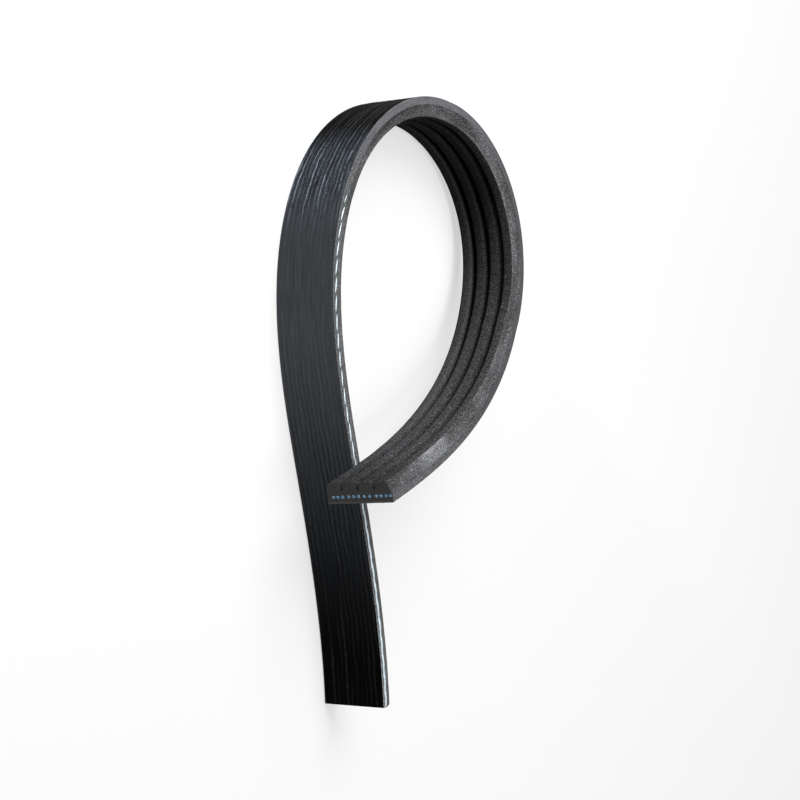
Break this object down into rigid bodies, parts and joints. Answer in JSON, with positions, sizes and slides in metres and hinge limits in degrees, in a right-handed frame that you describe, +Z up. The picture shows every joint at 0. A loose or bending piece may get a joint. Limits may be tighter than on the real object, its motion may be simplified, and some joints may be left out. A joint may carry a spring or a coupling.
{
  "type": "serpentine belt",
  "caption": "Length of ribbed rubber drive belt curled into an open loop, smooth back outside, lengthwise V ribs inside and cord ends at the cut face; drives engine accessories.",
  "frame": {"origin": "middle of the bounding box in plan, at the height of the lower slit edge that the belt lies on", "axes": "+Z up across the belt's width, +Y from the free straight end towards the top of the loop, +X towards the side that the loop bulges to"},
  "size_m": [0.068, 0.1334, 0.031],
  "materials": {
    "rubber": "matt black rubber, smooth back, slightly grainy ribs",
    "cord": "twisted pale blue-white polyester cord"
  },
  "bodies": {
    "root": {"belt_body": "rubber", "tensile_cord_01": "cord", "tensile_cord_02": "cord", "tensile_cord_03": "cord", "tensile_cord_04": "cord", "tensile_cord_05": "cord", "tensile_cord_06": "cord", "tensile_cord_07": "cord", "tensile_cord_08": "cord", "tensile_cord_09": "cord", "tensile_cord_10": "cord", "tensile_cord_11": "cord", "tensile_cord_12": "cord"}
  },
  "joints": []
}
